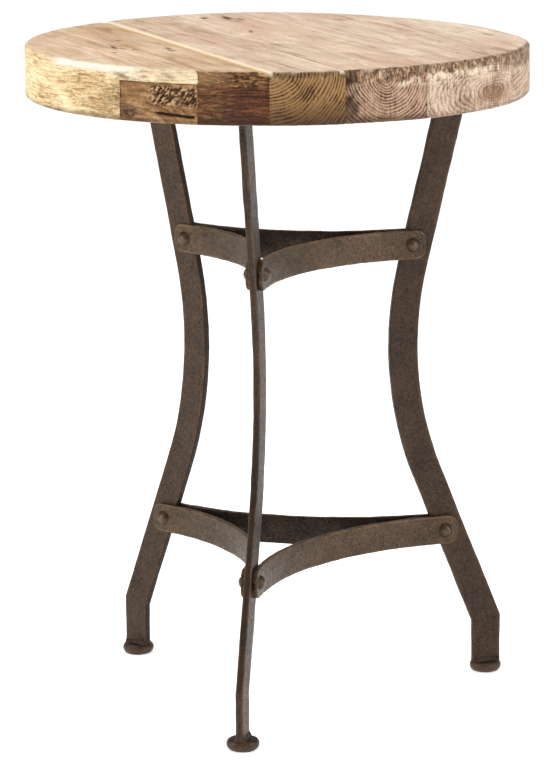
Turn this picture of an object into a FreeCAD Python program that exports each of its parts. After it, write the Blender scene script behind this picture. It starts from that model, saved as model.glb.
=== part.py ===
"""Round side table in the old sewing-table style: six thick reclaimed boards
joined into a round top, on three waisted flat-bar iron legs that two levels
of curved iron braces tie together with rivets.

Millimetres. +Z is up. The origin is on the floor, under the middle of the top.
Seen from the legs' own axis, leg 1 stands exactly towards -Y, leg 2 at 30
degrees and leg 3 at 150 degrees. The top is hand-fitted and a few millimetres
off the legs' axis.
"""
import FreeCAD, Part
import math
import os

V = FreeCAD.Vector

# ---------------------------------------------------------------- dimensions
# Overall
TABLE_HEIGHT = 610.0
TOP_DIAMETER = 457.0
TOP_THICKNESS = 46.5

# Boards of the top, measured across the grain from the table's axis.
# Positive is towards the direction BOARD_NORMAL_DEG in plan.
BOARD_NORMAL_DEG = 214.0
SEAM_OFFSETS = (144.0, 91.0, 28.0, -50.0, -158.0)
TOP_EDGE_ROUND = 4.0
BOTTOM_EDGE_ROUND = 2.0

# Block let into the front end of the first board
PATCH_OUTER_OFFSET = 194.0
PATCH_HEIGHT = 34.5
PATCH_LENGTH = 55.0

# Glue dowels across each seam
DOWEL_DIAMETER = 10.0
DOWEL_LENGTH = 40.0
DOWEL_PLACE_IN_SEAM = 0.4
DOWEL_GLUE_GAP = 0.1
DOWEL_END_GAP = 1.0

# Legs: flat bar on edge, straight - arc - straight - short upright foot
LEG_WIDTH = 27.5
LEG_BAR_THICKNESS = 6.4
LEG_TOP_RADIUS = 163.5
LEG_WAIST_RADIUS = 98.0
LEG_WAIST_HEIGHT = 295.0
LEG_WAIST_ARC = 322.0
LEG_FOOT_RADIUS = 196.0
LEG_BEND_HEIGHT = 52.0
LEG_AZIMUTHS = (-90.0, 30.0, 150.0)
HALF_ANGLE_BETWEEN_LEGS = 60.0
LEGS_AXIS = (5.5, 3.5)

# Braces: strip on edge, curved in plan between neighbouring legs
BRACE_HEIGHT = 27.0
BRACE_THICKNESS = 4.5
BRACE_LEVELS = {"upper": 415.0, "lower": 142.0}
BRACE_TANGENT_BEFORE_RIVET = 7.0
BRACE_END_PAST_RIVET = 13.0
BRACE_CORNER_ROUND = 9.5
BRACE_PAIRS = ((1, 2), (2, 3), (3, 1))

# Rivets
RIVET_SHANK_DIAMETER = 7.0
RIVET_HEAD_DIAMETER = 13.6
RIVET_HEAD_HEIGHT = 4.6
RIVET_HOLE_GAP = 0.05
RIVET_INSIDE_LEG_MIDDLE = 7.0

# Feet: turned buttons
FOOT_HEIGHT = 10.0
FOOT_BASE_RADIUS = 11.0
FOOT_WIDEST_RADIUS = 14.9
FOOT_WIDEST_HEIGHT = 5.6
FOOT_TOP_RADIUS = 13.5
FOOT_LOWER_BULGE = (13.9, 2.5)
FOOT_UPPER_BULGE = (14.65, 7.8)

# Plates that carry the top
PLATE_THICKNESS = 4.0
PLATE_WIDTH = 32.0
PLATE_INNER_RADIUS = 124.0
PLATE_OUTER_RADIUS = 192.0
PLATE_CORNER_ROUND = 7.0
PLATE_WELD_LEG = 3.5
PLATE_WELD_LENGTH = 20.0
PLATE_WELD_INSET = 2.0
PLATE_HOLE_DIAMETER = 5.4

# Wood screws, from below
SCREW_RADII_ON_PLATE = (136.0, 184.0)
SCREW_SHANK_DIAMETER = 4.8
SCREW_HEAD_DIAMETER = 9.0
SCREW_HEAD_HEIGHT = 3.0
SCREW_LENGTH_IN_WOOD = 26.0
SCREW_TIP_LENGTH = 6.0
SCREW_PILOT_GAP = 0.05
PILOT_DEPTH_GAP = 1.0

# How far a cutting tool runs past the face it cuts
OVERCUT = 5.0

# How closely an edge has to match a length or a height to be picked
PICK_TOLERANCE = 0.001

# ------------------------------------------------------------ derived places
TOP_UNDERSIDE = TABLE_HEIGHT - TOP_THICKNESS
PLATE_UNDERSIDE = TOP_UNDERSIDE - PLATE_THICKNESS
TOP_RADIUS = TOP_DIAMETER / 2.0
AXIS_Z = V(0, 0, 1)
ORIGIN = V(0, 0, 0)

os.makedirs("parts", exist_ok=True)


def save(name, shape):
    """Write one named piece as a STEP file."""
    shape.exportStep(os.path.join("parts", name + ".step"))


def turned(shape, degrees):
    """A copy of the shape, turned about the top's axis."""
    copy = shape.copy()
    copy.rotate(ORIGIN, AXIS_Z, degrees)
    return copy


def on_legs(shape, degrees):
    """A copy of a shape drawn round the legs' axis, turned and in its place."""
    copy = turned(shape, degrees)
    copy.translate(V(LEGS_AXIS[0], LEGS_AXIS[1], 0))
    return copy


def plan_direction(degrees):
    """Unit vector in plan at an angle from +X."""
    angle = math.radians(degrees)
    return V(math.cos(angle), math.sin(angle), 0)


def dome_height(radius, rise, distance):
    """Height of a dome of part of a sphere, at a distance from its middle."""
    sphere = (radius ** 2 + rise ** 2) / (2.0 * rise)
    return math.sqrt(sphere ** 2 - distance ** 2) - (sphere - rise)


def line(start, end):
    """A straight edge."""
    return Part.LineSegment(start, end).toShape()


def arc(start, middle, end):
    """A round edge through three points."""
    return Part.Arc(start, middle, end).toShape()


# --------------------------------------------------------------- leg profile
# The leg is drawn in a plane whose x is the distance from the legs' axis
# and whose y is the height. It runs from the top down to the foot.
def outward(direction):
    """The normal of a leg direction that points away from the axis."""
    return V(-direction.y, direction.x, 0)


def at_height(point, direction, height):
    """Where the line through a point reaches a height."""
    return point + direction * ((height - point.y) / direction.y)


LEG_TOP = V(LEG_TOP_RADIUS, PLATE_UNDERSIDE, 0)
LEG_WAIST = V(LEG_WAIST_RADIUS, LEG_WAIST_HEIGHT, 0)
LEG_BEND = V(LEG_FOOT_RADIUS, LEG_BEND_HEIGHT, 0)
UPPER_RUN = (LEG_WAIST - LEG_TOP).normalize()
LOWER_RUN = (LEG_BEND - LEG_WAIST).normalize()
FOOT_RUN = V(0, -1, 0)
WAIST_TANGENT = LEG_WAIST_ARC * math.tan(UPPER_RUN.getAngle(LOWER_RUN) / 2.0)
ARC_START = LEG_WAIST - UPPER_RUN * WAIST_TANGENT
ARC_END = LEG_WAIST + LOWER_RUN * WAIST_TANGENT
ARC_CENTRE = ARC_START + outward(UPPER_RUN) * LEG_WAIST_ARC
ARC_MIDDLE_NORMAL = (outward(UPPER_RUN) + outward(LOWER_RUN)).normalize()


def leg_edge(offset):
    """One long edge of the leg, at an offset outwards from its middle line."""
    upper = ARC_START + outward(UPPER_RUN) * offset
    lower = ARC_END + outward(LOWER_RUN) * offset
    middle = ARC_CENTRE - ARC_MIDDLE_NORMAL * (LEG_WAIST_ARC - offset)
    top = at_height(upper, UPPER_RUN, PLATE_UNDERSIDE)
    mitre = (outward(LOWER_RUN) + outward(FOOT_RUN)).normalize()
    bend = LEG_BEND + mitre * (offset / mitre.dot(outward(FOOT_RUN)))
    foot = V(LEG_FOOT_RADIUS + offset, FOOT_HEIGHT, 0)
    edges = [
        line(top, upper),
        arc(upper, middle, lower),
        line(lower, bend),
        line(bend, foot),
    ]
    return top, foot, edges


def leg_radius_at(height):
    """Distance of the leg's middle line from the axis, on its straight runs."""
    if height > ARC_START.y:
        return at_height(LEG_TOP, UPPER_RUN, height).x
    return at_height(LEG_BEND, LOWER_RUN, height).x


RIVET_RADII = {
    level: leg_radius_at(height) - RIVET_INSIDE_LEG_MIDDLE
    for level, height in BRACE_LEVELS.items()
}


def rivet_hole(level, radius):
    """A bar along the rivet's line, on a leg that points along +X."""
    reach = LEG_BAR_THICKNESS + 2.0 * BRACE_THICKNESS + OVERCUT
    start = V(RIVET_RADII[level], -reach / 2.0, BRACE_LEVELS[level])
    return Part.makeCylinder(radius, reach, start, V(0, 1, 0))


def make_leg():
    """A leg that points along +X."""
    outer_top, outer_foot, outer = leg_edge(LEG_WIDTH / 2.0)
    inner_top, inner_foot, inner = leg_edge(-LEG_WIDTH / 2.0)
    top_end = line(inner_top, outer_top)
    foot_end = line(outer_foot, inner_foot)
    wire = Part.Wire(Part.__sortEdges__(outer + [foot_end] + inner + [top_end]))
    bar = Part.Face(wire).extrude(V(0, 0, LEG_BAR_THICKNESS))
    bar.translate(V(0, 0, -LEG_BAR_THICKNESS / 2.0))
    bar.rotate(ORIGIN, V(1, 0, 0), 90)
    for level in BRACE_LEVELS:
        bar = bar.cut(rivet_hole(level, RIVET_SHANK_DIAMETER / 2.0 + RIVET_HOLE_GAP))
    return bar.Solids[0]


# -------------------------------------------------------------------- braces
def brace_face(middle_offset, level, side):
    """One long face of a brace in plan, between legs at -60 and +60 degrees.

    side is the distance of the face from the strip's middle line, positive
    away from the legs it lies on. Returns the points along the face.
    """
    rivet = RIVET_RADII[level]
    half = math.radians(HALF_ANGLE_BETWEEN_LEGS)
    corner = middle_offset / math.sin(half)
    tangent = rivet - BRACE_TANGENT_BEFORE_RIVET - middle_offset / math.tan(half)
    end = rivet + BRACE_END_PAST_RIVET - middle_offset / math.tan(half)
    centre = V(corner + tangent / math.cos(half), 0, 0)
    radius = tangent * math.tan(half) - side
    points = []
    for turn in (-1, 1):
        along = plan_direction(HALF_ANGLE_BETWEEN_LEGS * turn)
        across = plan_direction((HALF_ANGLE_BETWEEN_LEGS - 90.0) * turn)
        shift = V(corner, 0, 0) + across * side
        points.append((shift + along * end, shift + along * tangent))
    return points[0], centre - V(radius, 0, 0), points[1]


def make_brace(level):
    """A brace between legs that point to -60 and +60 degrees from +X."""
    middle_offset = (LEG_BAR_THICKNESS + BRACE_THICKNESS) / 2.0
    half = BRACE_THICKNESS / 2.0
    near_a, near_mid, near_b = brace_face(middle_offset, level, -half)
    far_a, far_mid, far_b = brace_face(middle_offset, level, half)
    edges = [
        line(near_a[0], near_a[1]),
        arc(near_a[1], near_mid, near_b[1]),
        line(near_b[1], near_b[0]),
        line(near_b[0], far_b[0]),
        line(far_b[0], far_b[1]),
        arc(far_b[1], far_mid, far_a[1]),
        line(far_a[1], far_a[0]),
        line(far_a[0], near_a[0]),
    ]
    strip = Part.Face(Part.Wire(edges)).extrude(V(0, 0, BRACE_HEIGHT))
    strip.translate(V(0, 0, BRACE_LEVELS[level] - BRACE_HEIGHT / 2.0))
    corners = [edge for edge in strip.Edges if is_strip_corner(edge)]
    strip = strip.makeFillet(BRACE_CORNER_ROUND, corners)
    for azimuth in (-HALF_ANGLE_BETWEEN_LEGS, HALF_ANGLE_BETWEEN_LEGS):
        hole = rivet_hole(level, RIVET_SHANK_DIAMETER / 2.0 + RIVET_HOLE_GAP)
        strip = strip.cut(turned(hole, azimuth))
    return strip.Solids[0]


def is_strip_corner(edge):
    """True for the short level edges across the thickness at a strip's ends."""
    level = abs(edge.Vertexes[0].Z - edge.Vertexes[-1].Z) < PICK_TOLERANCE
    return level and abs(edge.Length - BRACE_THICKNESS) < PICK_TOLERANCE


# -------------------------------------------------------------------- rivets
def make_rivet(level):
    """A set rivet with a domed head at each end, for a leg along +X."""
    half_grip = LEG_BAR_THICKNESS / 2.0 + BRACE_THICKNESS
    radius = RIVET_HEAD_DIAMETER / 2.0
    shank = RIVET_SHANK_DIAMETER / 2.0
    peak = half_grip + RIVET_HEAD_HEIGHT
    shoulder = half_grip + dome_height(radius, RIVET_HEAD_HEIGHT, radius / 2.0)
    profile = [
        line(V(0, -peak, 0), V(0, peak, 0)),
        arc(V(0, peak, 0), V(radius / 2.0, shoulder, 0), V(radius, half_grip, 0)),
        line(V(radius, half_grip, 0), V(shank, half_grip, 0)),
        line(V(shank, half_grip, 0), V(shank, -half_grip, 0)),
        line(V(shank, -half_grip, 0), V(radius, -half_grip, 0)),
        arc(V(radius, -half_grip, 0), V(radius / 2.0, -shoulder, 0), V(0, -peak, 0)),
    ]
    rivet = Part.Face(Part.Wire(profile)).revolve(ORIGIN, V(0, 1, 0), 360)
    rivet.translate(V(RIVET_RADII[level], 0, BRACE_LEVELS[level]))
    return rivet.Solids[0]


# ---------------------------------------------------------------------- feet
def make_foot():
    """A turned iron button under a leg that points along +X."""
    base = V(FOOT_BASE_RADIUS, 0, 0)
    widest = V(FOOT_WIDEST_RADIUS, 0, FOOT_WIDEST_HEIGHT)
    rim = V(FOOT_TOP_RADIUS, 0, FOOT_HEIGHT)
    lower_bulge = V(FOOT_LOWER_BULGE[0], 0, FOOT_LOWER_BULGE[1])
    upper_bulge = V(FOOT_UPPER_BULGE[0], 0, FOOT_UPPER_BULGE[1])
    profile = [
        line(ORIGIN, base),
        arc(base, lower_bulge, widest),
        arc(widest, upper_bulge, rim),
        line(rim, V(0, 0, FOOT_HEIGHT)),
        line(V(0, 0, FOOT_HEIGHT), ORIGIN),
    ]
    foot = Part.Face(Part.Wire(profile)).revolve(ORIGIN, AXIS_Z, 360)
    foot.translate(V(LEG_FOOT_RADIUS, 0, 0))
    return foot.Solids[0]


# --------------------------------------------------------- plates and screws
def make_plate():
    """The plate that a leg along +X is welded to, with its two weld beads."""
    length = PLATE_OUTER_RADIUS - PLATE_INNER_RADIUS
    corner = V(PLATE_INNER_RADIUS, -PLATE_WIDTH / 2.0, PLATE_UNDERSIDE)
    plate = Part.makeBox(length, PLATE_WIDTH, PLATE_THICKNESS, corner)
    upright = [edge for edge in plate.Edges if abs(edge.Length - PLATE_THICKNESS) < PICK_TOLERANCE]
    plate = plate.makeFillet(PLATE_CORNER_ROUND, upright)
    for radius in SCREW_RADII_ON_PLATE:
        start = V(radius, 0, PLATE_UNDERSIDE - OVERCUT)
        hole = Part.makeCylinder(PLATE_HOLE_DIAMETER / 2.0, PLATE_THICKNESS + 2.0 * OVERCUT, start)
        plate = plate.cut(hole)
    for side in (-1, 1):
        plate = plate.fuse(make_weld(side))
    return plate.removeSplitter().Solids[0]


def make_weld(side):
    """A fillet weld along one side face of the leg, under its plate."""
    face = side * LEG_BAR_THICKNESS / 2.0
    start = LEG_TOP_RADIUS - LEG_WIDTH / 2.0 + PLATE_WELD_INSET
    root = V(start, face, PLATE_UNDERSIDE)
    out = root + V(0, side * PLATE_WELD_LEG, 0)
    down = root + V(0, 0, -PLATE_WELD_LEG)
    bead = Part.Face(Part.makePolygon([root, out, down, root]))
    return bead.extrude(V(PLATE_WELD_LENGTH, 0, 0))


def make_screw(radius):
    """A round-head wood screw, driven up through the plate of a leg along +X."""
    head_bottom = PLATE_UNDERSIDE - SCREW_HEAD_HEIGHT
    tip = TOP_UNDERSIDE + SCREW_LENGTH_IN_WOOD
    shoulder = tip - SCREW_TIP_LENGTH
    shank = SCREW_SHANK_DIAMETER / 2.0
    rim = SCREW_HEAD_DIAMETER / 2.0
    crown = PLATE_UNDERSIDE - dome_height(rim, SCREW_HEAD_HEIGHT, rim / 2.0)
    profile = [
        line(V(0, 0, head_bottom), V(0, 0, tip)),
        line(V(0, 0, tip), V(shank, 0, shoulder)),
        line(V(shank, 0, shoulder), V(shank, 0, PLATE_UNDERSIDE)),
        line(V(shank, 0, PLATE_UNDERSIDE), V(rim, 0, PLATE_UNDERSIDE)),
        arc(V(rim, 0, PLATE_UNDERSIDE), V(rim / 2.0, 0, crown), V(0, 0, head_bottom)),
    ]
    screw = Part.Face(Part.Wire(profile)).revolve(ORIGIN, AXIS_Z, 360)
    screw.translate(V(radius, 0, 0))
    return screw.Solids[0]


def pilot_hole(radius):
    """The hole in the wood for a screw at a distance from the axis."""
    start = V(radius, 0, TOP_UNDERSIDE - OVERCUT)
    depth = SCREW_LENGTH_IN_WOOD + OVERCUT + PILOT_DEPTH_GAP
    return Part.makeCylinder(SCREW_SHANK_DIAMETER / 2.0 + SCREW_PILOT_GAP, depth, start)


# ---------------------------------------------------------------------- top
# The top is worked out with the boards' normal along +X and turned at the end.
def make_blank():
    """The whole round top before it is divided into boards."""
    blank = Part.makeCylinder(TOP_RADIUS, TOP_THICKNESS, V(0, 0, TOP_UNDERSIDE))
    for height, radius in ((TABLE_HEIGHT, TOP_EDGE_ROUND), (TOP_UNDERSIDE, BOTTOM_EDGE_ROUND)):
        rim = [edge for edge in blank.Edges if is_rim(edge, height)]
        blank = blank.makeFillet(radius, rim)
    return blank


def is_rim(edge, height):
    """True for the full circle round the top at a height."""
    if abs(edge.Length - math.pi * TOP_DIAMETER) > PICK_TOLERANCE:
        return False
    return abs(edge.Curve.Center.z - height) < PICK_TOLERANCE


def slab(low, high):
    """The space between two seams, from edge to edge of the top."""
    span = TOP_DIAMETER + 2.0 * OVERCUT
    corner = V(low, -span / 2.0, TOP_UNDERSIDE - OVERCUT)
    return Part.makeBox(high - low, span, TOP_THICKNESS + 2.0 * OVERCUT, corner)


def dowel_places():
    """Centres of the dowels, on both halves of each seam."""
    places = []
    for offset in SEAM_OFFSETS:
        half_chord = math.sqrt(TOP_RADIUS ** 2 - offset ** 2)
        for side in (-1, 1):
            along = side * half_chord * DOWEL_PLACE_IN_SEAM
            places.append(V(offset, along, TABLE_HEIGHT - TOP_THICKNESS / 2.0))
    return places


def dowel_bar(place, radius, length):
    """A round bar across a seam."""
    return Part.makeCylinder(radius, length, place - V(length / 2.0, 0, 0), V(1, 0, 0))


def patch_space():
    """The space of the block let into the first board's front end."""
    width = PATCH_OUTER_OFFSET - SEAM_OFFSETS[0]
    front = math.sqrt(TOP_RADIUS ** 2 - PATCH_OUTER_OFFSET ** 2)
    corner = V(SEAM_OFFSETS[0], front - PATCH_LENGTH / 2.0, TOP_UNDERSIDE - OVERCUT)
    return Part.makeBox(width, TOP_RADIUS, PATCH_HEIGHT + OVERCUT, corner)


def make_top():
    """The boards, the patch block and the dowels, each turned into place."""
    blank = make_blank()
    holes = [
        turned(on_legs(pilot_hole(radius), azimuth), -BOARD_NORMAL_DEG)
        for azimuth in LEG_AZIMUTHS
        for radius in SCREW_RADII_ON_PLATE
    ]
    for place in dowel_places():
        hole_length = DOWEL_LENGTH + 2.0 * DOWEL_END_GAP
        holes.append(dowel_bar(place, DOWEL_DIAMETER / 2.0 + DOWEL_GLUE_GAP, hole_length))
    bounds = (TOP_RADIUS + OVERCUT,) + SEAM_OFFSETS + (-TOP_RADIUS - OVERCUT,)
    pieces = {}
    for index in range(len(bounds) - 1):
        board = blank.common(slab(bounds[index + 1], bounds[index]))
        for hole in holes:
            board = board.cut(hole)
        pieces["plank_%d" % (index + 1)] = board
    space = patch_space()
    pieces["patch_block"] = pieces["plank_1"].common(space)
    pieces["plank_1"] = pieces["plank_1"].cut(space)
    turned_pieces = {name: turned(shape.Solids[0], BOARD_NORMAL_DEG) for name, shape in pieces.items()}
    dowels = [dowel_bar(place, DOWEL_DIAMETER / 2.0, DOWEL_LENGTH) for place in dowel_places()]
    turned_pieces["plank_dowels"] = turned(Part.makeCompound(dowels), BOARD_NORMAL_DEG)
    return turned_pieces


# ------------------------------------------------------------------ assembly
for name, shape in make_top().items():
    save(name, shape)

leg = make_leg()
foot = make_foot()
plate = make_plate()
screws = []
for number, azimuth in enumerate(LEG_AZIMUTHS, start=1):
    save("leg_%d" % number, on_legs(leg, azimuth))
    save("foot_%d" % number, on_legs(foot, azimuth))
    save("mounting_plate_%d" % number, on_legs(plate, azimuth))
    screws += [on_legs(make_screw(radius), azimuth) for radius in SCREW_RADII_ON_PLATE]
save("plate_screws", Part.makeCompound(screws))

for level in BRACE_LEVELS:
    brace = make_brace(level)
    for first, second in BRACE_PAIRS:
        middle = LEG_AZIMUTHS[first - 1] + HALF_ANGLE_BETWEEN_LEGS
        save("%s_brace_%d_%d" % (level, first, second), on_legs(brace, middle))
    rivet = make_rivet(level)
    rivets = [on_legs(rivet, azimuth) for azimuth in LEG_AZIMUTHS]
    save("%s_rivets" % level, Part.makeCompound(rivets))
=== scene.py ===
import math

import bmesh
import bpy
import numpy as np
from mathutils import Matrix, Vector


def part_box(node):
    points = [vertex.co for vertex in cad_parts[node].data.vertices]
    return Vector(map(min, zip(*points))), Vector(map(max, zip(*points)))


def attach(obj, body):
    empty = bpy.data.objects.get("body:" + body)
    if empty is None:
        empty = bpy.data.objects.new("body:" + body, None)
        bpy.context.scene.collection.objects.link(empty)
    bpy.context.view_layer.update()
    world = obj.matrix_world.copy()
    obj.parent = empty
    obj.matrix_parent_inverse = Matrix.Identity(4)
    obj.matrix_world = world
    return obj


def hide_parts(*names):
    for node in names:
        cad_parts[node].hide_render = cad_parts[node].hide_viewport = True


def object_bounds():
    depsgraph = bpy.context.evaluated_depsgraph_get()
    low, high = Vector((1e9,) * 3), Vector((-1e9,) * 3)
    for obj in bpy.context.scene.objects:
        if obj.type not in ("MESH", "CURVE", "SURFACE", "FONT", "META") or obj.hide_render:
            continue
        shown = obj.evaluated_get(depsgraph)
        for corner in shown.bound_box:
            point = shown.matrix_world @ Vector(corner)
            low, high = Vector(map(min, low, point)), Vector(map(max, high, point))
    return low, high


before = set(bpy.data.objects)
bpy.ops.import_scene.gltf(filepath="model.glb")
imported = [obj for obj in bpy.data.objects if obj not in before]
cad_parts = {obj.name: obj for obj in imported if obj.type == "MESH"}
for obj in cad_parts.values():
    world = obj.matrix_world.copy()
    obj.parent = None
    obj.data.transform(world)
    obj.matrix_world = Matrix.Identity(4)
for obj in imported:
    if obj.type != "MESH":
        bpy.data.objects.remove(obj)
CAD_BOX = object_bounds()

MM = 0.001

# ------------------------------------------------------------ places and sizes
# All lengths here are millimetres unless a name says otherwise.
TOP_RADIUS = (CAD_BOX[1].x - CAD_BOX[0].x) / 2 / MM
TOP_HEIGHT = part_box("plank_3")[1].z / MM
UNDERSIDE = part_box("plank_3")[0].z / MM
BOARD_ANGLE = math.radians(214.0)
ACROSS = np.array([math.cos(BOARD_ANGLE), math.sin(BOARD_ANGLE), 0.0])
ALONG = np.array([-math.sin(BOARD_ANGLE), math.cos(BOARD_ANGLE), 0.0])
UP = np.array([0.0, 0.0, 1.0])

SEAM_GAP = 0.15
SEAM_ROUND = 0.8
TOP_ROUND = 4.0
BOTTOM_ROUND = 2.0
FRONT_WEAR = 5.0
BACK_WEAR = 7.0
BACK_WEAR_SPREAD = 3.2
COLUMN_STEP = 1.35
ROW_STEP = 3.6
WALL_ROWS = 36
END_ROWS = (0.0, 0.3, 1.0, 2.0, 3.3, 5.0, 7.5)
SEAM_COLUMNS = (0.0, 0.2, 0.45, 0.85, 1.5)

LEG_WIDTH = 27.5
LEG_THICKNESS = 6.4
LEG_TOP_RADIUS = 163.5
LEG_TOP_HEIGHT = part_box("leg_1")[1].z / MM
LEG_WAIST = (98.0, 295.0)
LEG_WAIST_ARC = 322.0
LEG_BEND = (196.0, 52.0)
LEG_FOOT_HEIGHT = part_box("leg_1")[0].z / MM
LEG_ANGLES = (-90.0, 30.0, 150.0)
LEG_CORNER = 1.1
# How far down the legs the painted shadow of the top reaches
LEG_TOP_PAINTED_SHADOW = 40.0

BRACE_HEIGHT = 27.0
BRACE_THICKNESS = 4.5
BRACE_PAIRS = ((1, 2), (2, 3), (3, 1))
BRACE_STRAIGHT_BEFORE_RIVET = 7.0
BRACE_END_PAST_RIVET = 13.0
BRACE_END_ROUND = 9.5
# Stations' distances from a brace's end, close together where it is rounded
BRACE_END_STATIONS = (0.0, 0.5, 1.4, 2.8, 4.6, 7.0, 9.5, 11.5, 13.5, 15.5)
FAR_FROM_END = 99.0

RIVET_HEAD_RADIUS = 6.8
RIVET_HEAD_HEIGHT = 4.6
RIVET_SHANK_RADIUS = 3.5
RIVET_INSIDE_LEG_MIDDLE = 7.0

# Points closer than this are merged, and steeper edges are shaded hard
MERGE_DISTANCE = 0.002
HARD_EDGE = math.radians(50.0)

# Wear and painted light mark on the faces towards the axis: below 0 is painted shade, which keeps them dark
INNER_FACE_PAINTED_SHADE = -0.55


def reach(node, direction):
    """How far a CAD node reaches along a direction, as (lowest, highest)."""
    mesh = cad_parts[node].data
    co = np.empty(len(mesh.vertices) * 3)
    mesh.vertices.foreach_get("co", co)
    along = co.reshape(-1, 3) @ direction / MM
    return float(along.min()), float(along.max())


FOOT_BOXES = [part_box("foot_%d" % number) for number in (1, 2, 3)]
LEGS_AXIS = sum((lo + hi for lo, hi in FOOT_BOXES), Vector()) / 6 / MM


# --------------------------------------------------------------------- noise
def lattice(ix, iy, iz, seed):
    """Even numbers from -1 to 1, one for each whole-number place."""
    h = (ix * 374761393 + iy * 668265263 + iz * 1440662683 + seed * 974634777) & 0xFFFFFFFF
    h = ((h ^ (h >> 13)) * 1274126177) & 0xFFFFFFFF
    h = (h ^ (h >> 16)) & 0xFFFFFFFF
    return h / 2147483648.0 - 1.0


def noise(points, cell, seed):
    """Smooth noise from -1 to 1 at points (n, 3), with a cell size for each axis."""
    p = np.asarray(points, float) / np.asarray(cell, float)
    base = np.floor(p).astype(np.int64)
    t = p - base
    t = t * t * (3 - 2 * t)
    total = 0.0
    for dx in (0, 1):
        wx = t[:, 0] if dx else 1 - t[:, 0]
        for dy in (0, 1):
            wy = t[:, 1] if dy else 1 - t[:, 1]
            for dz in (0, 1):
                wz = t[:, 2] if dz else 1 - t[:, 2]
                value = lattice(base[:, 0] + dx, base[:, 1] + dy, base[:, 2] + dz, seed)
                total = total + wx * wy * wz * value
    return total


def step(low, high, x):
    """A smooth step from 0 at low to 1 at high."""
    t = np.clip((x - low) / (high - low), 0.0, 1.0)
    return t * t * (3 - 2 * t)


def band(low, high, soft, x):
    """1 between low and high, falling smoothly to 0 outside them."""
    return step(low - soft, low + soft, x) * (1 - step(high - soft, high + soft, x))


# -------------------------------------------------------------------- meshes
def new_object(name, data):
    """A new object in the scene."""
    thing = bpy.data.objects.new(name, data)
    bpy.context.scene.collection.objects.link(thing)
    return thing


def face_outwards(mesh, merge=0.0):
    """Turns every face outwards, after merging points closer than a distance."""
    bm = bmesh.new()
    bm.from_mesh(mesh)
    if merge:
        bmesh.ops.remove_doubles(bm, verts=bm.verts, dist=merge)
    bmesh.ops.recalc_face_normals(bm, faces=bm.faces)
    bm.to_mesh(mesh)
    bm.free()


def make_piece(name, points, faces, material, replaced, marks):
    """A piece of the table from points in millimetres, that rides on the CAD's body."""
    mesh = bpy.data.meshes.new(name)
    mesh.from_pydata((np.asarray(points) * MM).tolist(), [], faces)
    for key, values in marks.items():
        layer = mesh.attributes.new(key, "FLOAT", "POINT")
        layer.data.foreach_set("value", np.asarray(values, np.float32))
    face_outwards(mesh, MERGE_DISTANCE * MM)
    piece = new_object(name, mesh)
    mesh.materials.append(material)
    finish_surface(mesh)
    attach(piece, "root")
    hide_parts(*replaced)
    return piece


def finish_surface(mesh):
    """Smooth shading with hard edges where faces meet at a steep angle."""
    mesh.polygons.foreach_set("use_smooth", [True] * len(mesh.polygons))
    mesh.set_sharp_from_angle(angle=HARD_EDGE)
    mesh.update()


def normals_of(points, faces):
    """The outward normal at each point of a closed mesh."""
    mesh = bpy.data.meshes.new("scratch")
    mesh.from_pydata(np.asarray(points).tolist(), [], faces)
    face_outwards(mesh)
    out = np.empty(len(mesh.vertices) * 3)
    mesh.vertices.foreach_get("normal", out)
    bpy.data.meshes.remove(mesh)
    return out.reshape(-1, 3)


def ring_quads(rings, around):
    """Faces between rings of points, each ring joined to the next."""
    faces = []
    for first in range(0, (rings - 1) * around, around):
        for j in range(around):
            k = (j + 1) % around
            faces.append((first + j, first + k, first + around + k, first + around + j))
    return faces


def tube_faces(stations, around):
    """Faces of a closed tube of rings, with a cap at each end."""
    faces = ring_quads(stations, around)
    faces.append(tuple(range(around))[::-1])
    faces.append(tuple(range((stations - 1) * around, stations * around)))
    return faces


def on_legs(points, degrees):
    """Points drawn round the legs' axis, turned and in their place."""
    a = math.radians(degrees)
    c, s = math.cos(a), math.sin(a)
    p = np.asarray(points, float)
    x = LEGS_AXIS.x + p[:, 0] * c - p[:, 1] * s
    return np.column_stack([x, LEGS_AXIS.y + p[:, 0] * s + p[:, 1] * c, p[:, 2]])


# ------------------------------------------------------------------- colours
def rgb(r, g, b):
    """A display colour, 0 to 255, as linear light."""
    def linear(v):
        v /= 255.0
        return v / 12.92 if v <= 0.04045 else ((v + 0.055) / 1.055) ** 2.4
    return (linear(r), linear(g), linear(b), 1.0)


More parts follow.
